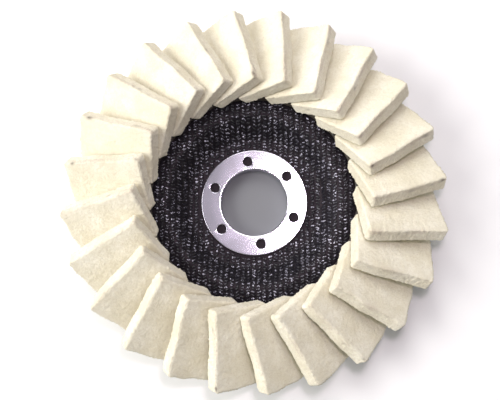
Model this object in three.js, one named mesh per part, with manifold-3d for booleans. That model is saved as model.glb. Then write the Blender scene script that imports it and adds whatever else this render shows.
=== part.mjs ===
// A felt flap wheel for polishing on an angle grinder: 24 leaning planks of wool felt, bonded by
// their lower edges to a depressed-centre glass-fibre plate with a metal-lined bore.
// Millimetres, +Z out of the working face, origin at the centre of the hub's rear face.
import * as THREE from "three";
import { mergeVertices } from "three/addons/utils/BufferGeometryUtils.js";
import Module from "manifold-3d";

// Hub: a pressed metal ring and collar, staked into a washer behind the plate
const boreDiameter = 22.23;
const collarWall = 0.8;
const ringWidth = 6.7;
const ringThickness = 1.0;
const washerWidth = 7.9;
const washerThickness = 1.0;
const flareWidth = 1.4;
const flareDepth = 0.6;
const keyHoleCount = 6;
const keyHoleDiameter = 3.1;
const keyHoleInset = 3.0;
const keyHoleTurn = 41.4;

// Backing plate, moulded from resin-bonded glass mesh
const meshPly = 0.7;
const corePly = 1.2;
const flatMargin = 2.5;
const riserWidth = 7.5;
const coneAngle = 16.5;
const rimLift = 1.3;

// Felt flaps
const wheelDiameter = 125;
const flapCount = 24;
const flapWidth = 19.2;
const flapThickness = 4.6;
const flapCorner = 1.6;
const flapEdge = 0.5;
const rootMargin = 3.1;
const rootOffset = 1.7;
const flapOverhang = 3.4;

// Hand-laid pitch, in degrees: a drift once round the wheel and another twice round it
const layStart = 0.6;
const layDrift = 1.1;
const layDriftTurn = 57;
const laySwing = 0.5;
const laySwingTurn = 134;

// Adhesive bed and rear label
const bedFloor = 0.6;
const bedHeight = 2.4;
const bedSetback = 1.6;
const labelSetback = 2.5;
const labelMargin = 9;
const labelThickness = 0.3;

// Clearances
const bondGap = 0.1;
const feltGap = 0.3;
const packGap = 0.18;

const roundSegments = 60;
const hubSegments = 72;
const riserSteps = 5;

const rad = THREE.MathUtils.degToRad;
const wasm = await Module();
wasm.setup();

// ---- sizes worked out from the ones above ----
const boreRadius = boreDiameter / 2;
const collarRadius = boreRadius + collarWall;
const ringRadius = boreRadius + ringWidth;
const keyHoleRadius = boreRadius + keyHoleInset;
const washerRadius = boreRadius + washerWidth;
const flatRadius = washerRadius + flatMargin;
const crestRadius = flatRadius + riserWidth;
const rootRadius = crestRadius + rootMargin;
const plateThickness = 2 * meshPly + corePly + 2 * bondGap;
const plateTopAtHub = washerThickness + bondGap + plateThickness;
const ringFront = plateTopAtHub + bondGap + ringThickness;

// Each flap leans until its neighbour packs against it at the root.
const rootPitch = (2 * Math.PI * rootRadius) / flapCount;
const lean = Math.asin((flapThickness + packGap) / rootPitch);
const cone = rad(coneAngle);
const along = new THREE.Vector3(Math.cos(cone), 0, -Math.sin(cone));
const across = new THREE.Vector3(
  Math.sin(lean) * Math.sin(cone), -Math.cos(lean), Math.sin(lean) * Math.cos(cone));
const through = new THREE.Vector3(
  Math.cos(lean) * Math.sin(cone), Math.sin(lean), Math.cos(lean) * Math.cos(cone));

// Length that brings the rounded, raised outer corner of a flap out to the wheel's radius.
const raisedX = rootRadius + flapWidth * across.x + flapThickness * through.x;
const raisedY = rootOffset + flapWidth * across.y + flapThickness * through.y;
const sharpRadius = wheelDiameter / 2 + flapCorner * (Math.SQRT2 - 1);
const flapLength = (Math.sqrt(sharpRadius ** 2 - raisedY ** 2) - raisedX) / Math.cos(cone);
const rimRadius = rootRadius + flapLength * Math.cos(cone) - flapOverhang;

const rimTop = rimLift + plateThickness;
const crestTop = rimTop + (rimRadius - crestRadius) * Math.tan(cone);

// Height of the plate's front face: flat at the hub, an S-shaped riser, then the cone.
function plateTop(radius) {
  const onCone = rimTop + (rimRadius - radius) * Math.tan(cone);
  if (radius >= crestRadius) return onCone;
  if (radius <= flatRadius) return plateTopAtHub;
  const share = (radius - flatRadius) / riserWidth;
  const bend = share ** 2 * (3 - 2 * share);
  const endSlope = (share ** 3 - share ** 2) * riserWidth * -Math.tan(cone);
  return plateTopAtHub + (crestTop - plateTopAtHub) * bend + endSlope;
}

function plateRadii(inner, outer) {
  const radii = [inner];
  for (let i = 0; i <= riserSteps; i++) {
    const radius = flatRadius + (riserWidth * i) / riserSteps;
    if (radius > inner && radius < outer) radii.push(radius);
  }
  radii.push(outer);
  return radii;
}

// ---- solids ----
function lathe(points, segments) {
  const closed = [...points, points[0]].map(([radius, z]) => new THREE.Vector2(radius, z));
  const shape = new THREE.LatheGeometry(closed, segments);
  return shape.rotateX(Math.PI / 2);
}

// A ring that follows the plate, between two depths below its front face.
function plateLayer(inner, outer, depth, thickness) {
  const radii = plateRadii(inner, outer);
  const lower = radii.map((radius) => [radius, plateTop(radius) - depth - thickness]);
  const upper = radii.map((radius) => [radius, plateTop(radius) - depth]).reverse();
  return lathe([...lower, ...upper], roundSegments);
}

function solid(geometry) {
  const bare = geometry.clone();
  bare.deleteAttribute("normal");
  bare.deleteAttribute("uv");
  const merged = mergeVertices(bare, 1e-4);
  return new wasm.Manifold(new wasm.Mesh({
    numProp: 3,
    vertProperties: merged.attributes.position.array,
    triVerts: new Uint32Array(merged.index.array),
  }));
}

function geometryOf(body) {
  const mesh = body.getMesh();
  const geometry = new THREE.BufferGeometry();
  geometry.setAttribute("position", new THREE.BufferAttribute(mesh.vertProperties, 3));
  geometry.setIndex(new THREE.BufferAttribute(mesh.triVerts, 1));
  geometry.computeVertexNormals();
  return geometry;
}

// The bore's lining and its front flange in one pressing, flared into the washer at the rear.
function hubRing() {
  const flangeBack = ringFront - ringThickness;
  const edge = 0.25;
  const flareRadius = collarRadius + flareWidth;
  const pressing = solid(lathe([
    [boreRadius, 0],
    [flareRadius, 0],
    [collarRadius, flareDepth],
    [collarRadius, flangeBack],
    [ringRadius, flangeBack],
    [ringRadius, ringFront - edge],
    [ringRadius - edge, ringFront],
    [boreRadius + edge, ringFront],
    [boreRadius, ringFront - edge],
  ], hubSegments));
  let ring = pressing;
  for (let i = 0; i < keyHoleCount; i++) {
    const turn = rad(keyHoleTurn + (360 * i) / keyHoleCount);
    const hole = new THREE.CylinderGeometry(
      keyHoleDiameter / 2, keyHoleDiameter / 2, 3 * ringThickness, 24);
    hole.rotateX(Math.PI / 2);
    hole.translate(keyHoleRadius * Math.cos(turn), keyHoleRadius * Math.sin(turn), ringFront);
    ring = ring.subtract(solid(hole));
  }
  return geometryOf(ring);
}

// A flat washer, countersunk to take the flare flush.
function rearWasher() {
  const hole = collarRadius + bondGap;
  const sink = hole + flareWidth;
  const edge = 0.2;
  return lathe([
    [sink, 0],
    [washerRadius - edge, 0],
    [washerRadius, edge],
    [washerRadius, washerThickness],
    [hole, washerThickness],
    [hole, flareDepth + bondGap],
    [sink, bondGap / 2],
  ], hubSegments);
}

// One felt plank, its lower inner corner at the origin, length along X, width along -Y.
function flapPlank(grow = 0) {
  const length = flapLength - 2 * flapEdge + 2 * grow;
  const width = flapWidth - 2 * flapEdge + 2 * grow;
  const corner = flapCorner - flapEdge + grow;
  const outline = new THREE.Shape();
  outline.absarc(corner, -corner, corner, Math.PI, Math.PI / 2, true);
  outline.absarc(length - corner, -corner, corner, Math.PI / 2, 0, true);
  outline.absarc(length - corner, corner - width, corner, 0, -Math.PI / 2, true);
  outline.absarc(corner, corner - width, corner, -Math.PI / 2, -Math.PI, true);
  const plank = new THREE.ExtrudeGeometry(outline, {
    depth: flapThickness - 2 * flapEdge + 2 * grow,
    bevelEnabled: true,
    bevelSize: flapEdge,
    bevelThickness: flapEdge,
    bevelSegments: 1,
    curveSegments: 2,
  });
  return plank.translate(flapEdge - grow, grow - flapEdge, flapEdge - grow);
}

const rootZ = plateTop(rootRadius) + bondGap + bedFloor + feltGap;

// Angle of a flap round the wheel, with the uneven pitch of laying by hand.
function layAngle(index) {
  const turn = rad((360 * index) / flapCount);
  const drift = layDrift * Math.cos(turn - rad(layDriftTurn));
  const swing = laySwing * Math.cos(2 * turn - rad(laySwingTurn));
  return turn + rad(layStart + drift + swing);
}

// Puts a plank, a child of the returned group, at its place round the wheel.
function flapPlace(index, child) {
  const tilt = new THREE.Group();
  tilt.rotation.set(-lean, 0, 0);
  tilt.add(child);
  const root = new THREE.Group();
  root.rotation.set(0, cone, 0);
  root.position.set(rootRadius, rootOffset, rootZ);
  root.add(tilt);
  const station = new THREE.Group();
  station.rotation.set(0, 0, layAngle(index));
  station.add(root);
  return station;
}

// The resin that the flaps' lower edges are set in, with a socket left by each of them.
function adhesiveBed() {
  const inner = rootRadius + bedSetback;
  const outer = rimRadius - bedSetback;
  let bed = solid(plateLayer(inner, outer, -bondGap - bedHeight, bedHeight));
  for (let i = 0; i < flapCount; i++) {
    const cutter = new THREE.Mesh(flapPlank(feltGap));
    flapPlace(i, cutter).updateMatrixWorld(true);
    bed = bed.subtract(solid(cutter.geometry.clone().applyMatrix4(cutter.matrixWorld)));
  }
  return geometryOf(bed);
}

// ---- finishes ----
const finish = (color, roughness, metalness) =>
  new THREE.MeshStandardMaterial({ color, roughness, metalness });
const felt = finish(0xe9e2cf, 0.95, 0);
const glassMesh = finish(0x1b1a1e, 0.45, 0);
const resinCore = finish(0x151416, 0.6, 0);
const adhesive = finish(0x2a2622, 0.5, 0);
const plated = finish(0xc9c7cf, 0.3, 1);
const paper = finish(0xb9b4a8, 0.85, 0);

// ---- the wheel ----
const wheel = new THREE.Group();

function addPiece(name, geometry, material) {
  const piece = new THREE.Mesh(geometry, material);
  piece.name = name;
  wheel.add(piece);
}

const plateBore = collarRadius + bondGap;
addPiece("hub_ring", hubRing(), plated);
addPiece("rear_washer", rearWasher(), plated);
addPiece("front_mesh_ply", plateLayer(plateBore, rimRadius, 0, meshPly), glassMesh);
addPiece("core_ply", plateLayer(plateBore, rimRadius, meshPly + bondGap, corePly), resinCore);
addPiece("rear_mesh_ply",
  plateLayer(plateBore, rimRadius, plateThickness - meshPly, meshPly), glassMesh);
addPiece("adhesive_bed", adhesiveBed(), adhesive);
addPiece("rear_label",
  plateLayer(crestRadius + labelSetback, rimRadius - labelMargin,
    plateThickness + bondGap, labelThickness), paper);

for (let i = 0; i < flapCount; i++) {
  const flap = new THREE.Mesh(flapPlank(), felt);
  flap.name = `flap_${String(i + 1).padStart(2, "0")}`;
  wheel.add(flapPlace(i, flap));
}

export default wheel;
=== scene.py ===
import math

import bpy
import numpy as np
from mathutils import Matrix, Vector


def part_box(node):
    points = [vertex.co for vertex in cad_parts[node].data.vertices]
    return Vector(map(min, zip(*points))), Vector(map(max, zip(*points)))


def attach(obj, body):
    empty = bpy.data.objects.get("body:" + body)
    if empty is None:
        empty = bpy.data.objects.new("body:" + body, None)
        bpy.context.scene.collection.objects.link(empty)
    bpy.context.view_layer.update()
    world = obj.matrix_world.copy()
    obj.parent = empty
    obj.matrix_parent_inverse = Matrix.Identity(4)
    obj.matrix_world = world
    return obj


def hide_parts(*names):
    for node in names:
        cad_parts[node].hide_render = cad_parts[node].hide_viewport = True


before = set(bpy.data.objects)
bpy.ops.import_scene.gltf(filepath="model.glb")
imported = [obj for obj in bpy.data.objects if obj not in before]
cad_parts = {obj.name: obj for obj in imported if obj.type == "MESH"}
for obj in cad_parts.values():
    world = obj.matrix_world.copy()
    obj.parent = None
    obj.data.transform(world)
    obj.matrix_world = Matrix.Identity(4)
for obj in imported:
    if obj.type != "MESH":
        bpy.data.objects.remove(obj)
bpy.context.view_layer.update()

bl_info = {
    "name": "Felt Polishing Wheel",
    "version": (1, 0, 0),
    "blender": (4, 5, 0),
    "location": "3D View > Sidebar > Felt Wheel",
    "description": "Builds the finished looks of a felt flap polishing wheel round its packed frame",
    "category": "Add Mesh",
}

MM = 0.001
BODY = "root"
FLAP_NODES = sorted(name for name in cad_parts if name.startswith("flap_"))
FELT_SEED = 40
FRONT_SEED = 7
REAR_SEED = 11
HOLES = 6
# How unevenly the threads lie: shifts are in pitches, sway in radians, tilt is a slope, growth a share
SHIFT_ACROSS = 0.10
SHIFT_ALONG = 0.16
SWAY = 0.18
TILT = 0.10
GROWTH = (0.85, 1.1)
# Burrs that stand out, as (place along the raised edge from -1 to 1, level up its side from -1 to 1)
SPECKS = {"flap_02": [(0.86, 0.9)], "flap_03": [(0.70, 0.55), (-0.93, 0.8)], "flap_08": [(-0.90, 1.0)],
          "flap_12": [(0.72, 1.0)], "flap_13": [(0.76, 1.0)], "flap_19": [(0.86, 1.0)]}


# ---------------------------------------------------------------- sizes and colours

def size(name, text, default, **more):
    """A length that a user may change, in metres."""
    return bpy.props.FloatProperty(
        name=name, description=text, default=default, min=0.0, unit="LENGTH", precision=5, **more)


def place(name, text, default):
    """A point that a user may move, in metres."""
    return bpy.props.FloatVectorProperty(
        name=name, description=text, default=default, size=3, unit="LENGTH", subtype="TRANSLATION")


def angle(name, text, degrees):
    return bpy.props.FloatProperty(
        name=name, description=text, default=math.radians(degrees), subtype="ANGLE")


def colour(name, text, default):
    return bpy.props.FloatVectorProperty(
        name=name, description=text, default=default, size=3, min=0.0, max=1.0, subtype="COLOR")


def number(name, text, default, **more):
    return bpy.props.FloatProperty(name=name, description=text, default=default, **more)


class FeltSettings(bpy.types.PropertyGroup):
    swell: size("Swell", "How much thicker the felt stands than its packed core", 0.42 * MM)
    pinch: size("Root pinch", "How much thinner the felt is pressed at its glued edge", 0.5 * MM)
    corner: size("Corner radius", "Radius of the corners of a flap", 1.1 * MM)
    edge: size("Edge radius", "Softness of the cut edges", 0.3 * MM)
    cell: size("Mesh cell", "Spacing of the felt's surface points", 0.28 * MM)
    crown: size("Crown", "How far the faces swell in the middle", 0.22 * MM)
    lump: size("Lumps", "Height of the slow unevenness of the faces", 0.26 * MM)
    tuft: size("Tufts", "Height of the tangled surface", 0.20 * MM)
    fray: size("Fray", "Depth of the unevenness of the cut edges", 0.95 * MM)
    light: colour("Light wool", "Colour of clean felt", (0.91, 0.875, 0.725))
    dark: colour("Dark wool", "Colour of the dingier patches", (0.78, 0.73, 0.555))
    scuff: colour("Scuffs", "Colour of the rubbed and layered cut edges", (0.56, 0.46, 0.36))
    burr: colour("Burrs", "Colour of specks caught in the wool", (0.10, 0.075, 0.055))


class BackingSettings(bpy.types.PropertyGroup):
    stitch_across: size("Stitch pitch across", "Spacing of the thread columns", 1.78 * MM)
    stitch_along: size("Stitch pitch along", "Spacing of the threads in a column", 1.03 * MM)
    stitch_length: size("Stitch length", "Length of a thread crown", 1.75 * MM)
    stitch_width: size("Stitch width", "Width of a thread crown", 0.80 * MM)
    stitch_height: size("Stitch height", "Height of a thread crown above the resin", 0.42 * MM)
    slant: angle("Slant", "Lean of a crown, one way and the other by columns", 24)
    resin: colour("Resin", "Colour of the black resin", (0.006, 0.0055, 0.007))
    thread: colour("Thread", "Colour of the resin-soaked glass thread", (0.012, 0.011, 0.016))
    # Glass is the colour of the painted glints: pale flecks on the crown tops in place of sparkles of
    # light.
    glass: colour("Glass", "Colour of the bare glass filaments", (0.80, 0.78, 0.94))


class MetalSettings(bpy.types.PropertyGroup):
    edge: size("Edge radius", "Rounding of the pressed edges", 0.22 * MM)
    lip: size("Bore lip", "Radius of the rolled lip round the bore", 0.55 * MM)
    hole: size("Keying hole", "Diameter of the six punched holes", 3.1 * MM)
    hole_lip: size("Hole lip", "Rounding of the rim of each hole", 0.28 * MM)
    circle: size("Hole circle", "Radius of the circle that the holes stand on", 14.115 * MM)
    plating: colour("Plating", "Colour of the bright plating", (0.69, 0.68, 0.76))


class PaperSettings(bpy.types.PropertyGroup):
    paper: colour("Paper", "Colour of the blank label", (0.60, 0.55, 0.46))


class StageSettings(bpy.types.PropertyGroup):
    floor: colour("Floor", "Colour of the pale floor", (0.93, 0.93, 0.93))
    # Painted shade: the colour the floor is given under the hub.
    shade: colour("Shade", "Colour of the floor under the hub", (0.215, 0.22, 0.235))
    lens: number("Lens", "Focal length of the camera in millimetres", 64.6, min=1.0)
    camera: place(
        "Camera", "Place of the camera above the hub's front face", (8.1 * MM, -30.5 * MM, 300 * MM))
    pitch: angle("Camera pitch", "Turn of the camera about X", 5.97)
    roll: angle("Camera roll", "Turn of the camera about Y", 1.81)
    sky: number("Sky", "Strength of the light from all round", 0.22, min=0.0)
    key_place: place("Key place", "Place of the broad light on the left", (-0.77, -0.03, 0.53))
    fill_place: place("Fill place", "Place of the broad light behind", (0.0, 0.60, 0.68))
    flash_place: place(
        "Flash place", "Place of the small light above the front face", (0.034, 0.030, 0.30))
    key: number("Key", "Power of the broad light from the left, in watts", 10.6, min=0.0)
    fill: number("Fill", "Power of the broad light from behind, in watts", 3.8, min=0.0)
    flash: number("Flash", "Power of the small light by the camera, in watts", 0.27, min=0.0)


# ---------------------------------------------------------------- modelling by hand

def deselect():
    if bpy.context.object and bpy.context.object.mode != "OBJECT":
        bpy.ops.object.mode_set(mode="OBJECT")
    bpy.ops.object.select_all(action="DESELECT")


def pick(piece):
    deselect()
    piece.select_set(True)
    bpy.context.view_layer.objects.active = piece


def edit(piece, mode="FACE"):
    """Opens a piece in edit mode with everything in it selected."""
    pick(piece)
    bpy.ops.object.mode_set(mode="EDIT")
    bpy.ops.mesh.select_mode(type=mode)
    bpy.ops.mesh.select_all(action="SELECT")


def leave():
    bpy.ops.object.mode_set(mode="OBJECT")


def named(name):
    """Gives the piece just made its name, and its mesh the same one."""
    piece = bpy.context.object
    piece.name = name
    piece.data.name = name
    return piece


def apply(piece, kind, **values):
    """Adds a modifier to a piece and applies it at once."""
    pick(piece)
    step = piece.modifiers.new("step", kind)
    for key, value in values.items():
        setattr(step, key, value)
    bpy.ops.object.modifier_apply(modifier=step.name)


def points_of(piece):
    """A mesh's points as rows of x, y and z, read in one go."""
    flat = np.empty(len(piece.data.vertices) * 3, np.float64)
    piece.data.vertices.foreach_get("co", flat)
    return flat.reshape(-1, 3)


def set_points(piece, points):
    piece.data.vertices.foreach_set("co", np.ascontiguousarray(points, np.float64).ravel())
    piece.data.update()


def settle(piece, smooth=math.radians(40)):
    """Merges doubles, turns the faces outwards and shades the piece smooth."""
    edit(piece)
    bpy.ops.mesh.remove_doubles(threshold=0.002 * MM)
    bpy.ops.mesh.normals_make_consistent(inside=False)
    leave()
    bpy.ops.object.shade_smooth_by_angle(angle=smooth)


def mesh_object(name, points, faces):
    """A new piece of the given points and faces."""
    mesh = bpy.data.meshes.new(name)
    mesh.from_pydata([tuple(point) for point in points], [], faces)
    piece = bpy.data.objects.new(name, mesh)
    bpy.context.collection.objects.link(piece)
    return piece


def spun(name, outline, steps=240):
    """A closed ring, spun round the wheel's axis from its outline of (radius, height) points."""
    mesh = bpy.data.meshes.new(name)
    ring = [(radius, 0.0, height) for radius, height in outline]
    edges = [(i, (i + 1) % len(ring)) for i in range(len(ring))]
    mesh.from_pydata(ring, edges, [])
    piece = bpy.data.objects.new(name, mesh)
    bpy.context.collection.objects.link(piece)
    edit(piece, "VERT")
    bpy.ops.mesh.spin(steps=steps, angle=2 * math.pi, center=(0, 0, 0), axis=(0, 0, 1))
    leave()
    settle(piece)
    return piece


def rounded(corners, steps=5):
    """Outline of (radius, height, fillet) corners, with each fillet drawn as a smooth curve."""
    outline = []
    for i, (x, z, fillet) in enumerate(corners):
        here = Vector((x, z))
        before = Vector(corners[i - 1][:2]) - here
        after = Vector(corners[(i + 1) % len(corners)][:2]) - here
        half = before.angle(after) / 2
        reach = min(fillet / math.tan(half), 0.49 * before.length, 0.49 * after.length)
        start = here + before.normalized() * reach
        end = here + after.normalized() * reach
        for step in range(steps + 1):
            share = step / steps
            point = start.lerp(here, share).lerp(here.lerp(end, share), share)
            outline.append((point.x, point.y))
    return outline


def keep(piece, slot, *nodes):
    """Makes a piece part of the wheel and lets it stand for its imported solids."""
    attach(piece, BODY)
    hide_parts(*nodes)


# ---------------------------------------------------------------- what the frame says

def ring_profile(node):
    """Radii of a spun node's points, with the lowest and highest point at each of them."""
    points = points_of(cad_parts[node])
    radius = np.round(np.hypot(points[:, 0], points[:, 1]), 5)
    radii = np.unique(radius)
    low = np.array([points[radius == r, 2].min() for r in radii])
    high = np.array([points[radius == r, 2].max() for r in radii])
    return radii, low, high


def smooth_curve(x, y, at):
    """A curve through the points, smooth where they bend and straight where they run straight."""
    slope = np.diff(y) / np.diff(x)
    tangent = np.concatenate([slope[:1], (slope[1:] + slope[:-1]) / 2, slope[-1:]])
    i = np.clip(np.searchsorted(x, at) - 1, 0, len(x) - 2)
    step = x[i + 1] - x[i]
    t = (at - x[i]) / step
    return ((1 + 2 * t) * (1 - t) ** 2 * y[i] + t * (1 - t) ** 2 * step * tangent[i]
            + t * t * (3 - 2 * t) * y[i + 1] + t * t * (t - 1) * step * tangent[i + 1])


def plank_frame(node):
    """A flap's middle, its axes (along, towards the root, through) and its size along them."""
    points = np.unique(np.round(points_of(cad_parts[node]), 6), axis=0)
    middle = (points.min(axis=0) + points.max(axis=0)) / 2
    along, _, through = np.linalg.svd(points - points.mean(axis=0), full_matrices=False)[2]
    if along[:2] @ middle[:2] < 0:
        along = -along
    if through[2] < 0:
        through = -through
    axes = np.array([along, np.cross(through, along), through])
    local = points @ axes.T
    span = local.max(axis=0) - local.min(axis=0)
    return (local.max(axis=0) + local.min(axis=0)) / 2 @ axes, axes, span


# ---------------------------------------------------------------- materials

class Nodes:
    """A short way to write a material's node tree, where a noise's scale counts cycles to the metre."""

    def __init__(self, name):
        self.material = bpy.data.materials.new(name)
        self.material.use_nodes = True
        self.tree = self.material.node_tree
        self.shader = self.tree.nodes["Principled BSDF"]

    def add(self, kind, inputs=(), **values):
        node = self.tree.nodes.new(kind)
        for key, value in values.items():
            setattr(node, key, value)
        for key, value in dict(inputs).items():
            self.put(value, node.inputs[key])
        return node

    def put(self, value, socket):
        if isinstance(value, bpy.types.NodeSocket):
            self.tree.links.new(value, socket)
        else:
            socket.default_value = value

    def where(self):
        return self.add("ShaderNodeTexCoord").outputs["Object"]

    def noise(self, scale, detail=4.0, vector=None, roughness=0.55, distortion=0.0):
        node = self.add("ShaderNodeTexNoise", {
            "Vector": vector or self.where(), "Scale": scale, "Detail": detail,
            "Roughness": roughness, "Distortion": distortion})
        return node.outputs["Fac"]

    def ramp(self, value, low, high, start=0.0, end=1.0):
        """Takes low to high in a value onto start to end, and holds it there outside them."""
        node = self.add("ShaderNodeMapRange", {
            "Value": value, "From Min": low, "From Max": high, "To Min": start, "To Max": end})
        return node.outputs["Result"]

    def math(self, operation, a, b=0.0):
        node = self.add("ShaderNodeMath", operation=operation)
        self.put(a, node.inputs[0])
        self.put(b, node.inputs[1])
        return node.outputs[0]

    def mix(self, share, a, b):
        node = self.add("ShaderNodeMix", data_type="RGBA")
        self.put(share, node.inputs["Factor"])
        self.put(a, node.inputs["A"])
        self.put(b, node.inputs["B"])
        return node.outputs["Result"]

    def attribute(self, name):
        return self.add("ShaderNodeAttribute", attribute_name=name).outputs["Fac"]

    def bump(self, height, distance, strength=1.0, under=None):
        node = self.add("ShaderNodeBump", {
            "Height": height, "Distance": distance, "Strength": strength})
        if under:
            self.put(under, node.inputs["Normal"])
        return node.outputs["Normal"]

    def finish(self, **inputs):
        for key, value in inputs.items():
            self.put(value, self.shader.inputs[key.replace("_", " ")])
        return self.material


def rgba(values):
    return (*values, 1.0)


def felt_material(settings):
    """Pressed wool: cream, clouded and flecked, with layered cut edges and a few caught burrs."""
    n = Nodes("wool felt")
    clean_fibre = (0.98, 0.95, 0.86, 1.0)
    cloud = n.ramp(n.noise(130.0, 4.0), 0.38, 0.64)
    mottle = n.noise(700.0, 5.0, roughness=0.66, distortion=0.4)
    tangle = n.noise(1900.0, 6.0, roughness=0.78, distortion=0.5)
    grain = n.noise(4200.0, 4.0, roughness=0.7, distortion=0.8)
    wool = n.mix(cloud, rgba(settings.light), rgba(settings.dark))
    wool = n.mix(n.ramp(mottle, 0.46, 0.66, 0.0, 0.75), wool, rgba(settings.dark))
    wool = n.mix(n.ramp(tangle, 0.54, 0.68, 0.0, 0.7), wool, clean_fibre)
    wool = n.mix(n.ramp(tangle, 0.45, 0.30, 0.0, 0.70), wool, rgba(settings.scuff))
    wool = n.mix(n.ramp(grain, 0.42, 0.25, 0.0, 0.35), wool, rgba(settings.dark))
    wool = n.mix(n.math("MULTIPLY", n.attribute("batch"), 0.35), wool, rgba(settings.dark))
    wander = n.math("MULTIPLY", n.noise(420.0, 4.0), 5.0)
    level = n.math("ADD", n.math("MULTIPLY", n.attribute("depth"), 1.3), wander)
    layer = n.add("ShaderNodeTexNoise", {"W": level, "Scale": 2.2, "Detail": 3.0},
                  noise_dimensions="1D")
    layers = n.ramp(layer.outputs["Fac"], 0.48, 0.70, 0.0, 0.42)
    streak = n.math("MULTIPLY", n.attribute("cut"), layers)
    wool = n.mix(streak, wool, rgba(settings.scuff))
    rub = n.math("MULTIPLY", n.attribute("scuff"), n.ramp(tangle, 0.40, 0.62))
    wool = n.mix(rub, wool, rgba(settings.scuff))
    wool = n.mix(n.attribute("burr"), wool, rgba(settings.burr))
    bump = n.bump(mottle, 0.30 * MM, 0.7)
    bump = n.bump(tangle, 0.30 * MM, 0.9, bump)
    bump = n.bump(grain, 0.08 * MM, 0.6, bump)
    n.shader.inputs["Sheen Weight"].default_value = 0.25
    n.shader.inputs["Sheen Roughness"].default_value = 0.5
    n.shader.inputs["Specular IOR Level"].default_value = 0.15
    return n.finish(Base_Color=wool, Roughness=0.95, Normal=bump)


def resin_material(settings):
    """Black resin with a pitted skin."""
    n = Nodes("black resin")
    grain = n.noise(900.0, 5.0, roughness=0.6)
    pits = n.noise(3200.0, 2.0)
    tone = n.mix(n.ramp(grain, 0.35, 0.7), rgba(settings.resin), (0.014, 0.013, 0.016, 1.0))
    rough = n.ramp(grain, 0.3, 0.7, 0.30, 0.62)
    bump = n.bump(grain, 0.22 * MM, 0.9)
    bump = n.bump(pits, 0.04 * MM, 0.6, bump)
    n.shader.inputs["Specular Tint"].default_value = (1.0, 0.78, 0.90, 1.0)
    n.shader.inputs["Specular IOR Level"].default_value = 0.20
    return n.finish(Base_Color=tone, Roughness=rough, Normal=bump)


def thread_material(settings):
    """Glass thread soaked in resin: black and glassy, with painted glints, pale flecks on the tops of
    its crowns.
    """
    n = Nodes("glass thread")
    patch = n.noise(300.0, 3.0)
    fleck = n.noise(2300.0, 2.0, roughness=0.5)
    pits = n.noise(1300.0, 3.0, roughness=0.6)
    # Painted glints: pale flecks on the crown tops, thinned out in patches, stand in for sparkles of
    # light on the threads.
    glint_mask = n.ramp(n.attribute("glint_mask"), 0.2, 0.75)
    painted_glint = n.math("MULTIPLY", n.ramp(fleck, 0.535, 0.60), glint_mask)
    painted_glint = n.math("MULTIPLY", painted_glint, n.ramp(patch, 0.38, 0.58, 0.25, 1.0))
    tone = n.mix(painted_glint, rgba(settings.thread), rgba(settings.glass))
    rough = n.ramp(pits, 0.32, 0.68, 0.10, 0.24)
    bump = n.bump(pits, 0.06 * MM, 0.6)
    n.shader.inputs["Specular IOR Level"].default_value = 0.50
    return n.finish(Base_Color=tone, Roughness=rough, Normal=bump)


def plating_material(settings):
    """Bright plated steel, satin from the press, with turned rings and light scuffs."""
    n = Nodes("bright plating")
    parts = n.add("ShaderNodeSeparateXYZ", {"Vector": n.where()})
    x, y = parts.outputs["X"], parts.outputs["Y"]
    radius = n.math("SQRT", n.math("ADD", n.math("MULTIPLY", x, x), n.math("MULTIPLY", y, y)))
    rings = n.add("ShaderNodeCombineXYZ", {"X": radius})
    turned = n.noise(2600.0, 2.0, rings.outputs["Vector"])
    grain = n.noise(2600.0, 4.0)
    smear = n.noise(140.0, 3.0)
    tone = n.mix(n.ramp(smear, 0.35, 0.7, 0.0, 0.6), rgba(settings.plating), (0.58, 0.57, 0.66, 1.0))
    rough = n.math("ADD", n.ramp(smear, 0.3, 0.7, 0.13, 0.17), n.ramp(turned, 0.3, 0.7, 0.0, 0.05))
    bump = n.bump(turned, 0.0015 * MM, 0.4)
    bump = n.bump(grain, 0.0012 * MM, 0.4, bump)
    return n.finish(Base_Color=tone, Metallic=1.0, Roughness=rough, Normal=bump)


def glue_material():
    """Cured adhesive: nearly black brown, glossy in drips and dull in smears."""
    n = Nodes("cured adhesive")
    smear = n.noise(300.0, 4.0)
    tone = n.mix(n.ramp(smear, 0.35, 0.7), (0.030, 0.024, 0.018, 1.0), (0.065, 0.052, 0.040, 1.0))
    bump = n.bump(n.noise(1300.0, 3.0), 0.08 * MM, 0.6)
    return n.finish(Base_Color=tone, Roughness=n.ramp(smear, 0.3, 0.7, 0.22, 0.5), Normal=bump)


def paper_material(settings):
    """Plain uncoated label paper with short fibres and a little rubbed dirt."""
    n = Nodes("label paper")
    fibre = n.noise(2400.0, 5.0, distortion=1.2)
    rubbed = n.noise(120.0, 3.0)
    base = n.mix(n.ramp(fibre, 0.3, 0.7, 0.0, 0.35), rgba(settings.paper), (0.72, 0.68, 0.60, 1.0))
    tone = n.mix(n.ramp(rubbed, 0.52, 0.75, 0.0, 0.45), base, (0.30, 0.27, 0.23, 1.0))
    return n.finish(Base_Color=tone, Roughness=0.86, Normal=n.bump(fibre, 0.03 * MM, 0.5))


def floor_material(settings):
    """A plain pale floor, with painted shade that greys it under the middle of the wheel."""
    n = Nodes("pale floor")
    reach = n.add("ShaderNodeVectorMath", {0: n.where()}, operation="LENGTH").outputs["Value"]
    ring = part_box("hub_ring")[1][0]
    # Painted shade: the floor is grey out to the hub ring's radius and fades to pale by 1.6 times it.
    tone = n.mix(n.ramp(reach, ring, 1.6 * ring), rgba(settings.shade), rgba(settings.floor))
    return n.finish(Base_Color=tone, Roughness=0.9)


def shared(name, make, settings):
    """A finish that several pieces share, made for the first of them."""
    return bpy.data.materials.get(name) or make(settings)


# ---------------------------------------------------------------- operators

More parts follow.
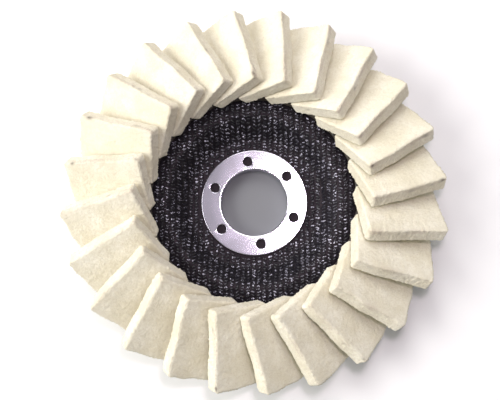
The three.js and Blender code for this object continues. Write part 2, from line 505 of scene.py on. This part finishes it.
def felt_blank(settings, span):
    """One felt plank lying flat, its root edge towards +Y and its outer end towards +X."""
    deselect()
    bpy.ops.mesh.primitive_cube_add(size=1, location=(0, 0, 0))
    blank = named("felt_blank")
    edit(blank)
    bpy.ops.transform.resize(value=(span[0], span[1], span[2] + settings.swell))
    leave()
    edit(blank, "EDGE")
    bpy.ops.mesh.select_all(action="DESELECT")
    leave()
    for edge in blank.data.edges:
        one, other = (blank.data.vertices[i].co.z for i in edge.vertices)
        edge.select = bool(abs(one - other) > 0.5 * span[2])
    bpy.ops.object.mode_set(mode="EDIT")
    bpy.ops.mesh.bevel(offset=settings.corner, segments=6, affect="EDGES")
    leave()
    apply(blank, "BEVEL", width=settings.edge, segments=3, limit_method="ANGLE",
          angle_limit=math.radians(60))
    apply(blank, "REMESH", mode="VOXEL", voxel_size=settings.cell)
    apply(blank, "SMOOTH", factor=0.5, iterations=1)
    weights = fray_weights(points_of(blank), span, settings)
    group = blank.vertex_groups.new(name="frayed")
    for index in np.flatnonzero(weights > 0.02):
        group.add([int(index)], float(weights[index]), "REPLACE")
    return blank


def fray_weights(local, span, settings):
    """How much each point of a plank frays: most along its edges, and some on its cut sides."""
    edge_reach = 2.2 * settings.edge
    side_reach = 0.5 * MM
    side_share = 0.55
    gap = span / 2 + (0, 0, settings.swell / 2) - np.abs(local)
    to_edge = np.min([np.maximum(gap[:, a], gap[:, b]) for a, b in ((0, 1), (1, 2), (0, 2))], axis=0)
    to_side = np.minimum(gap[:, 0], gap[:, 1])
    edges = np.clip(1 - to_edge / edge_reach, 0, 1)
    sides = np.clip(1 - to_side / side_reach, 0, 1)
    return np.maximum(edges, side_share * sides)


def cloud_texture(name, grain, depth, noise="SOFT_NOISE"):
    """Clouds that a Displace modifier raises a surface by, with lumps about a grain across."""
    texture = bpy.data.textures.new(name, "CLOUDS")
    texture.noise_type = noise
    texture.noise_scale = grain
    texture.noise_depth = depth
    return texture


def shape_felt(local, span, settings, dice):
    """Pinches a flap at its root, crowns its faces and gives it its own slight set.

    u runs from the inner end (-1) to the outer end (1), v from the raised edge (-1) to the root (1).
    """
    half = span / 2
    u, v = local[:, 0] / half[0], local[:, 1] / half[1]
    root = np.clip((v + 1) / 2, 0, 1)
    free = np.clip((1 - v) / 2, 0, 1)
    inner = np.clip((0.1 - u) / 1.1, 0, 1)
    half_thick = half[2] + settings.swell / 2
    squeeze = 1 - (settings.pinch / (2 * half_thick)) * root ** 1.5
    squeeze -= 0.04 * inner * root
    side = local[:, 2] / half_thick
    fade = np.clip(1 - u ** 4, 0, 1) * np.clip(1 - v ** 4, 0, 1)
    crown = settings.crown * dice.uniform(0.4, 1.0) * fade * side * (1 - 0.7 * np.clip(v, 0, 1))
    bow = MM * (dice.uniform(-0.16, 0.12) * free ** 2 + dice.uniform(-0.14, 0.14) * free * u)
    shaped = local.copy()
    shaped[:, 2] = local[:, 2] * squeeze + crown + bow
    shaped[:, 0] += MM * (dice.uniform(-0.25, 0.2) + dice.uniform(-0.2, 0.2) * v) * np.clip(u, 0, 1)
    shaped[:, 1] += MM * (dice.uniform(-0.2, 0.2) + dice.uniform(-0.18, 0.18) * u) * np.clip(-v, 0, 1)
    wave = np.sin(u * dice.uniform(4, 7) + dice.uniform(0, 6)) * np.clip(-v, 0, 1) ** 6
    shaped[:, 1] += 0.16 * MM * wave
    bulge = dice.uniform(-0.1, 0.4) * (1 - v ** 2)
    ripple = 0.16 * np.sin(v * dice.uniform(4, 8) + dice.uniform(0, 6))
    shaped[:, 0] += MM * (bulge + ripple) * np.clip(u, 0, 1) ** 5
    return shaped


def burr_marks(local, span, dice, places):
    """Strength of the dark specks on the raised edge: the given ones and a few faint ones."""
    marks = np.zeros(len(local))
    half = span / 2
    spots = [(along, dice.uniform(0.75, 0.95), level) for along, level in places]
    spots += [(dice.uniform(-0.95, 0.9), dice.uniform(0.15, 0.4), dice.uniform(0.2, 1.0))
              for _ in range(dice.integers(0, 3))]
    for along, strength, level in spots:
        spot = np.array([half[0] * along, -half[1] * dice.uniform(0.95, 1.0), half[2] * level])
        reach = MM * np.array([dice.uniform(0.6, 1.2), dice.uniform(0.45, 0.7), 0.6])
        distance = np.linalg.norm((local - spot) / reach, axis=1)
        marks = np.maximum(marks, strength * np.exp(-distance ** 2))
    return marks


def scuff_marks(local, span, dice):
    """Strength of the rubbed patches along the top of the raised edge and at its inner corner."""
    half = span / 2
    u = local[:, 0] / half[0]
    edge = np.exp(-((local[:, 1] + half[1]) / (0.9 * MM)) ** 2) * (local[:, 2] > 0.4 * half[2])
    run = np.clip(np.sin(u * dice.uniform(3, 6) + dice.uniform(0, 6.3)), 0, 1)
    corner = np.exp(-((u + 1) * half[0] / (2.5 * MM)) ** 2)
    return np.clip(edge * (dice.uniform(0.25, 0.85) * run + dice.uniform(0.2, 0.9) * corner), 0, 0.8)


def float_attribute(piece, name, values):
    """Stores one number for each point of a piece, for its material to read."""
    layer = piece.data.attributes.new(name, "FLOAT", "POINT")
    layer.data.foreach_set("value", np.ascontiguousarray(values, np.float32))


def mark_felt(flap, local, span, dice, places):
    """Writes what the felt's material reads: cut sides, depth, batch, burrs and scuffs."""
    half = span / 2
    gap = np.minimum(half[0] - np.abs(local[:, 0]), half[1] - np.abs(local[:, 1]))
    float_attribute(flap, "cut", np.clip(1 - (gap - 0.1 * MM) / (0.25 * MM), 0, 1))
    float_attribute(flap, "depth", local[:, 2] / half[2])
    float_attribute(flap, "batch", np.full(len(local), dice.uniform(0, 1) ** 2))
    float_attribute(flap, "burr", burr_marks(local, span, dice, places))
    float_attribute(flap, "scuff", scuff_marks(local, span, dice))


class WHEEL_OT_felt_flaps(bpy.types.Operator):
    """Makes the leaning flaps of wool felt"""
    bl_idname = "wheel.felt_flaps"
    bl_label = "Felt flaps"

    def execute(self, context):
        settings = context.scene.wheel_felt
        wool = felt_material(settings)
        span = plank_frame(FLAP_NODES[0])[2]
        blank = felt_blank(settings, span)
        coarse = cloud_texture("felt lumps", 6.5 * MM, 1)
        tangled = cloud_texture("felt tufts", 1.3 * MM, 2)
        fine = cloud_texture("felt pile", 0.55 * MM, 2)
        frayed = cloud_texture("felt fray", 0.7 * MM, 2, "HARD_NOISE")
        local = points_of(blank)
        for index, node in enumerate(FLAP_NODES):
            dice = np.random.default_rng(FELT_SEED + index)
            middle, axes, _ = plank_frame(node)
            pick(blank)
            bpy.ops.object.duplicate(linked=False)
            flap = named(f"felt_{node}")
            mark_felt(flap, local, span, dice, SPECKS.get(node, ()))
            set_points(flap, shape_felt(local, span, settings, dice) @ axes + middle)
            for texture, strength, group in (
                    (coarse, settings.lump, ""), (tangled, settings.tuft, ""),
                    (fine, 0.9 * settings.tuft, ""), (frayed, settings.fray, "frayed")):
                apply(flap, "DISPLACE", texture=texture, texture_coords="LOCAL",
                      strength=strength, mid_level=0.5, vertex_group=group)
            pick(flap)
            bpy.ops.object.shade_smooth()
            flap.data.materials.append(wool)
            keep(flap, "wool_felt", node)
        bpy.data.objects.remove(blank, do_unlink=True)
        return {"FINISHED"}


class WHEEL_OT_hub_ring(bpy.types.Operator):
    """Makes the pressed ring that lines the bore, with its six keying holes"""
    bl_idname = "wheel.hub_ring"
    bl_label = "Hub ring"

    def execute(self, context):
        settings = context.scene.wheel_metal
        points = points_of(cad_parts["hub_ring"])
        front = points[:, 2].max()
        ring = spun("pressed_hub_ring", hub_outline(points, front, settings), steps=180)
        turn = hole_turn(points, front, settings.circle)
        for i in range(HOLES):
            heading = turn + 2 * math.pi * i / HOLES
            spot = Vector((math.cos(heading), math.sin(heading), 0)) * settings.circle
            punch = flared_punch(spot, front, settings.hole / 2, settings.hole_lip)
            apply(ring, "BOOLEAN", object=punch, solver="EXACT")
            bpy.data.objects.remove(punch, do_unlink=True)
        settle(ring, smooth=math.radians(35))
        apply(ring, "WEIGHTED_NORMAL", mode="FACE_AREA", weight=100, keep_sharp=True)
        ring.data.materials.append(shared("bright plating", plating_material, settings))
        keep(ring, "plated_metal", "hub_ring")
        return {"FINISHED"}


def hub_outline(points, front, settings):
    """Outline of the hub pressing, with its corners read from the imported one."""
    near = 0.01 * MM
    radii = ring_profile("hub_ring")[0]
    bore, outer = radii.min(), radii.max()
    away, level = np.hypot(points[:, 0], points[:, 1]), points[:, 2]
    flange_back = level[away > outer - 0.1 * MM].min()
    foot = away[level < near].max()
    collar = away[np.abs(level - flange_back) < near].min()
    flare = np.unique(np.round(level[np.abs(away - collar) < near], 6))[0]
    return rounded([
        (bore, 0.0, 0.08 * MM),
        (foot, 0.0, 0.05 * MM),
        (collar, flare, 0.3 * MM),
        (collar, flange_back, 0.25 * MM),
        (outer, flange_back, 0.1 * MM),
        (outer, front, 1.6 * settings.edge),
        (bore, front, settings.lip),
    ], steps=8)


def flared_punch(spot, front, radius, lip, steps=8):
    """A punch that leaves a hole with a rounded lip in a face at the height given by front."""
    deselect()
    depth = 2 * MM
    bpy.ops.mesh.primitive_cylinder_add(
        vertices=60, radius=radius, depth=depth,
        location=spot + Vector((0, 0, front - lip - depth / 2)))
    punch = named("punch")
    edit(punch)
    bpy.ops.mesh.select_all(action="DESELECT")
    leave()
    for polygon in punch.data.polygons:
        polygon.select = polygon.normal.z > 0.9
    bpy.ops.object.mode_set(mode="EDIT")
    wide, high = radius, 0.0
    for step in range(1, steps + 2):
        slope = min(step / steps, 1.0) * math.pi / 2
        wider = radius + lip * (1 - math.cos(slope))
        higher = lip * math.sin(slope) if step <= steps else lip + 0.5 * MM
        bpy.ops.mesh.extrude_region_move(
            TRANSFORM_OT_translate={"value": (0, 0, higher - high)})
        grow = wider / wide
        bpy.ops.transform.resize(
            value=(grow, grow, 1), center_override=spot + Vector((0, 0, front - lip + higher)))
        wide, high = wider, higher
    leave()
    return punch


def hole_turn(points, front, circle):
    """Angle of the first keying hole, from the rim points that the holes leave in the front face."""
    away = np.hypot(points[:, 0], points[:, 1])
    near = points[(np.abs(away - circle) < 0.3 * MM) & (points[:, 2] > front - 0.01 * MM)]
    angles = np.arctan2(near[:, 1], near[:, 0]) * HOLES
    mean = math.atan2(np.sin(angles).mean(), np.cos(angles).mean()) / HOLES
    return mean % (2 * math.pi / HOLES)


class WHEEL_OT_rear_washer(bpy.types.Operator):
    """Makes the washer that the hub ring is staked into"""
    bl_idname = "wheel.rear_washer"
    bl_label = "Rear washer"

    def execute(self, context):
        settings = context.scene.wheel_metal
        points = points_of(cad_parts["rear_washer"])
        away = np.hypot(points[:, 0], points[:, 1])
        sink = away[points[:, 2] < 0.01 * MM].min()
        hole, outer, top = away.min(), away.max(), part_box("rear_washer")[1][2]
        outline = rounded([
            (sink, 0.0, 0.1 * MM),
            (outer, 0.0, 0.28 * MM),
            (outer, top, 0.12 * MM),
            (hole, top, 0.08 * MM),
            (hole, 0.7 * top, 0.08 * MM),
        ])
        washer = spun("staked_rear_washer", outline)
        washer.data.materials.append(shared("bright plating", plating_material, settings))
        keep(washer, "plated_metal", "rear_washer")
        return {"FINISHED"}


def layer_outline(node, edge, steps=46):
    """Outline of a plate layer, smooth through the riser, with its rim and bore edges rounded."""
    radii, low, high = ring_profile(node)
    at = np.linspace(radii[0], radii[-1], steps)
    bottom = smooth_curve(radii, low, at)
    top = smooth_curve(radii, high, at)
    inset = np.minimum((at - at[0]) / edge, (at[-1] - at) / edge)
    soft = edge * (1 - np.sqrt(np.clip(1 - (1 - np.clip(inset, 0, 1)) ** 2, 0, 1)))
    soft = np.minimum(soft, 0.3 * (top - bottom))
    lower = list(zip(at, bottom + soft))
    upper = list(zip(at, top - soft))[::-1]
    return lower + upper


def thread_crown():
    """Points and faces of one crown: a ball of radius 1, cut off a little under its middle."""
    deselect()
    bpy.ops.mesh.primitive_uv_sphere_add(segments=8, ring_count=6, radius=1, location=(0, 0, 0))
    crown = named("crown")
    edit(crown)
    bpy.ops.mesh.bisect(plane_co=(0, 0, -0.25), plane_no=(0, 0, 1), clear_inner=True, use_fill=True)
    leave()
    unit = points_of(crown)
    faces = [tuple(polygon.vertices) for polygon in crown.data.polygons]
    bpy.data.objects.remove(crown, do_unlink=True)
    return unit, faces


def stitches(name, settings, dice, wanted, surface, flip):
    """Thread crowns in slanted columns, laid on a plate face wherever they are wanted."""
    unit, faces = thread_crown()
    crown_size = (settings.stitch_length / 2, settings.stitch_width / 2, settings.stitch_height)
    reach = surface[0][-1]
    columns = int(reach / settings.stitch_across) + 1
    rows = int(reach / settings.stitch_along) + 1
    points, polygons, glint_masks = [], [], []
    for column in range(-columns, columns + 1):
        for row in range(-rows, rows + 1):
            stagger = 0.5 * (column // 2 % 2)
            x = (column + dice.uniform(-SHIFT_ACROSS, SHIFT_ACROSS)) * settings.stitch_across
            y = (row + stagger + dice.uniform(-SHIFT_ALONG, SHIFT_ALONG)) * settings.stitch_along
            lean = settings.slant * (1 if column % 2 else -1) + dice.normal(0, SWAY)
            grow = dice.uniform(*GROWTH, 3)
            tip = dice.normal(0, TILT, 2)
            if not wanted(math.hypot(x, y)):
                continue
            local = unit * grow * crown_size
            height = local[:, 2] + local[:, 0] * tip[0] * 0.5 + local[:, 1] * tip[1]
            turned_x = x + local[:, 0] * math.cos(lean) - local[:, 1] * math.sin(lean)
            turned_y = y + local[:, 0] * math.sin(lean) + local[:, 1] * math.cos(lean)
            away = np.hypot(turned_x, turned_y)
            ground = smooth_curve(*surface, np.clip(away, surface[0][0], reach))
            placed = np.column_stack([turned_x, turned_y, ground + flip * height])
            start = len(points) * len(unit)
            points.append(placed)
            # How strongly each point takes the painted glints: most at its crown's top, scaled by a
            # random share for each crown.
            glint_masks.append(unit[:, 2] * dice.uniform(0.0, 1.25))
            polygons += [tuple(start + i for i in face) for face in faces]
    weave = mesh_object(name, np.concatenate(points), polygons)
    float_attribute(weave, "glint_mask", np.concatenate(glint_masks))
    return weave


def mesh_ply(settings, name, node, side, wanted, seed):
    """A face layer of the plate: pitted resin skin with the glass threads standing in it."""
    radii, low, high = ring_profile(node)
    skin = spun(name, layer_outline(node, edge=0.25 * MM))
    surface = (radii, high) if side > 0 else (radii, low)
    dice = np.random.default_rng(seed)
    weave = stitches(name + "_weave", settings, dice, wanted, surface, side)
    settle(weave, smooth=math.radians(80))
    resin = shared("black resin", resin_material, settings)
    thread = shared("glass thread", thread_material, settings)
    for piece in (skin, weave):
        piece.data.materials.append(resin)
        piece.data.materials.append(thread)
    for polygon in weave.data.polygons:
        polygon.material_index = 1
    deselect()
    weave.select_set(True)
    skin.select_set(True)
    bpy.context.view_layer.objects.active = skin
    bpy.ops.object.join()
    keep(skin, "glass_mesh", node)


class WHEEL_OT_front_mesh(bpy.types.Operator):
    """Makes the woven front face of the backing plate"""
    bl_idname = "wheel.front_mesh"
    bl_label = "Front mesh"

    def execute(self, context):
        settings = context.scene.wheel_backing
        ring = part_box("hub_ring")[1][0]
        bed = ring_profile("adhesive_bed")[0].min()
        half_crown = settings.stitch_length / 2

        def wanted(away):
            return ring + 0.7 * half_crown < away < bed - 0.5 * half_crown

        mesh_ply(settings, "glass_mesh_front", "front_mesh_ply", 1, wanted, FRONT_SEED)
        return {"FINISHED"}


class WHEEL_OT_rear_mesh(bpy.types.Operator):
    """Makes the woven rear face of the backing plate"""
    bl_idname = "wheel.rear_mesh"
    bl_label = "Rear mesh"

    def execute(self, context):
        settings = context.scene.wheel_backing
        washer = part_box("rear_washer")[1][0]
        label = ring_profile("rear_label")[0]
        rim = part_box("rear_mesh_ply")[1][0]
        half_crown = settings.stitch_length / 2

        def wanted(away):
            inside = washer + 0.8 * half_crown < away < label.min() - 0.9 * half_crown
            outside = label.max() + 0.9 * half_crown < away < rim - 0.9 * half_crown
            return inside or outside

        mesh_ply(settings, "glass_mesh_rear", "rear_mesh_ply", -1, wanted, REAR_SEED)
        return {"FINISHED"}


class WHEEL_OT_plate_core(bpy.types.Operator):
    """Makes the moulded core between the two mesh faces"""
    bl_idname = "wheel.plate_core"
    bl_label = "Plate core"

    def execute(self, context):
        settings = context.scene.wheel_backing
        core = spun("moulded_core", layer_outline("core_ply", edge=0.2 * MM))
        core.data.materials.append(shared("black resin", resin_material, settings))
        keep(core, "resin_core", "core_ply")
        return {"FINISHED"}


class WHEEL_OT_adhesive_bed(bpy.types.Operator):
    """Makes the bed of adhesive that the flaps stand in"""
    bl_idname = "wheel.adhesive_bed"
    bl_label = "Adhesive bed"

    def execute(self, context):
        pick(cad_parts["adhesive_bed"])
        bpy.ops.object.duplicate(linked=False)
        bed = named("cured_adhesive_bed")
        bed.parent = None
        bed.data.materials.clear()
        edit(bed)
        bpy.ops.mesh.remove_doubles(threshold=0.01 * MM)
        leave()
        apply(bed, "REMESH", mode="VOXEL", voxel_size=0.5 * MM)
        apply(bed, "SMOOTH", factor=0.5, iterations=2)
        apply(bed, "DISPLACE", texture=cloud_texture("adhesive drips", 2.2 * MM, 2),
              texture_coords="LOCAL", strength=0.22 * MM, mid_level=0.6)
        pick(bed)
        bpy.ops.object.shade_smooth()
        bed.data.materials.append(glue_material())
        keep(bed, "adhesive", "adhesive_bed")
        return {"FINISHED"}


class WHEEL_OT_rear_label(bpy.types.Operator):
    """Makes the blank paper label on the rear of the plate"""
    bl_idname = "wheel.rear_label"
    bl_label = "Rear label"

    def execute(self, context):
        settings = context.scene.wheel_paper
        label = spun("blank_rear_label", layer_outline("rear_label", edge=0.1 * MM, steps=10))
        apply(label, "DISPLACE", texture=cloud_texture("label waves", 9 * MM, 1),
              texture_coords="LOCAL", strength=0.10 * MM, mid_level=0.7)
        pick(label)
        bpy.ops.object.shade_smooth_by_angle(angle=math.radians(50))
        label.data.materials.append(paper_material(settings))
        keep(label, "label_paper", "rear_label")
        return {"FINISHED"}


def area_light(name, spot, aim, width, watts, tint):
    """A round soft light at a spot, turned to its aim."""
    data = bpy.data.lights.new(name, "AREA")
    data.shape = "DISK"
    data.size = width
    data.energy = watts
    data.color = tint
    lamp = bpy.data.objects.new(name, data)
    bpy.context.collection.objects.link(lamp)
    lamp.location = spot
    lamp.rotation_mode = "QUATERNION"
    lamp.rotation_quaternion = (Vector(aim) - Vector(spot)).to_track_quat("-Z", "Y")


class WHEEL_OT_stage(bpy.types.Operator):
    """Sets the camera, the pale floor and the soft studio light"""
    bl_idname = "wheel.stage"
    bl_label = "Stage"

    def execute(self, context):
        scene = context.scene
        settings = scene.wheel_stage
        middle = Vector((0, 0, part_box("hub_ring")[1][2]))
        data = bpy.data.cameras.new("camera")
        data.lens = settings.lens
        data.sensor_width = 36.0
        data.clip_start = 0.01
        data.clip_end = 20.0
        camera = bpy.data.objects.new("camera", data)
        bpy.context.collection.objects.link(camera)
        turn = Matrix.Rotation(settings.pitch, 4, "X") @ Matrix.Rotation(settings.roll, 4, "Y")
        camera.matrix_world = Matrix.Translation(middle + Vector(settings.camera)) @ turn
        scene.camera = camera
        deselect()
        bpy.ops.mesh.primitive_plane_add(size=6, location=(0, 0, -0.05 * MM))
        floor = named("floor")
        floor.data.materials.append(floor_material(settings))

        world = bpy.data.worlds.new("soft room")
        scene.world = world
        world.use_nodes = True
        sky = world.node_tree.nodes["Background"]
        sky.inputs["Color"].default_value = (0.97, 0.985, 1.0, 1.0)
        sky.inputs["Strength"].default_value = settings.sky
        area_light("key", settings.key_place, (0, 0, 0),
                   width=0.8, watts=settings.key, tint=(1.0, 0.985, 0.96))
        area_light("fill", settings.fill_place, (0, 0, 0),
                   width=0.6, watts=settings.fill, tint=(1.0, 0.985, 0.97))
        area_light("flash", middle + Vector(settings.flash_place), middle,
                   width=0.045, watts=settings.flash, tint=(1.0, 0.85, 0.96))
        scene.view_settings.view_transform = "Standard"
        scene.view_settings.look = "None"
        return {"FINISHED"}


class WHEEL_PT_panel(bpy.types.Panel):
    bl_idname = "WHEEL_PT_panel"
    bl_label = "Felt Wheel"
    bl_space_type = "VIEW_3D"
    bl_region_type = "UI"
    bl_category = "Felt Wheel"

    def draw(self, context):
        for operator in OPERATORS:
            self.layout.operator(operator.bl_idname)


OPERATORS = (
    WHEEL_OT_stage, WHEEL_OT_felt_flaps, WHEEL_OT_hub_ring, WHEEL_OT_rear_washer,
    WHEEL_OT_front_mesh, WHEEL_OT_plate_core, WHEEL_OT_rear_mesh, WHEEL_OT_adhesive_bed,
    WHEEL_OT_rear_label)
SETTINGS = {
    "wheel_felt": FeltSettings, "wheel_backing": BackingSettings, "wheel_metal": MetalSettings,
    "wheel_paper": PaperSettings, "wheel_stage": StageSettings}


def register():
    for name, group in SETTINGS.items():
        bpy.utils.register_class(group)
        setattr(bpy.types.Scene, name, bpy.props.PointerProperty(type=group))
    for operator in OPERATORS:
        bpy.utils.register_class(operator)
    bpy.utils.register_class(WHEEL_PT_panel)


def unregister():
    bpy.utils.unregister_class(WHEEL_PT_panel)
    for operator in reversed(OPERATORS):
        bpy.utils.unregister_class(operator)
    for name, group in reversed(SETTINGS.items()):
        delattr(bpy.types.Scene, name)
        bpy.utils.unregister_class(group)


def main():
    register()
    bpy.ops.wheel.stage()
    bpy.ops.wheel.felt_flaps()
    bpy.ops.wheel.hub_ring()
    bpy.ops.wheel.rear_washer()
    bpy.ops.wheel.front_mesh()
    bpy.ops.wheel.plate_core()
    bpy.ops.wheel.rear_mesh()
    bpy.ops.wheel.adhesive_bed()
    bpy.ops.wheel.rear_label()
    deselect()


if __name__ == "__main__":
    main()
